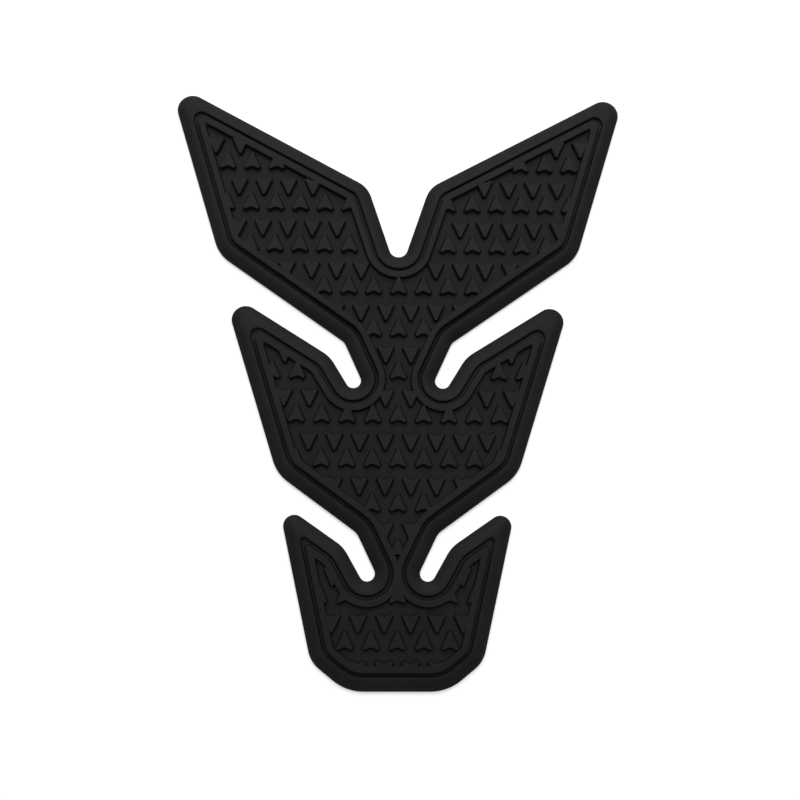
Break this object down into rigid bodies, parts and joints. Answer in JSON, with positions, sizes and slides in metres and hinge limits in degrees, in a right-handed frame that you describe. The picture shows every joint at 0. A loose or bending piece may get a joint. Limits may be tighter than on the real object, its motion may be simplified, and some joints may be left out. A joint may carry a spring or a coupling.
{
  "type": "motorcycle tank pad",
  "caption": "Three-tier moulded rubber tank pad with swept wings, a crowned border, a groove, a raised rim and a field of small arrowhead grips.",
  "frame": {"origin": "middle of the bounding box of the flat back, on the back's plane", "axes": "+X to the right as seen from the patterned face, +Y along the pad towards the wing tips, +Z out of the patterned face"},
  "size_m": [0.1454, 0.1898, 0.004],
  "materials": {
    "rubber": "satin"
  },
  "bodies": {
    "root": {"tank_pad": "rubber"}
  },
  "joints": []
}
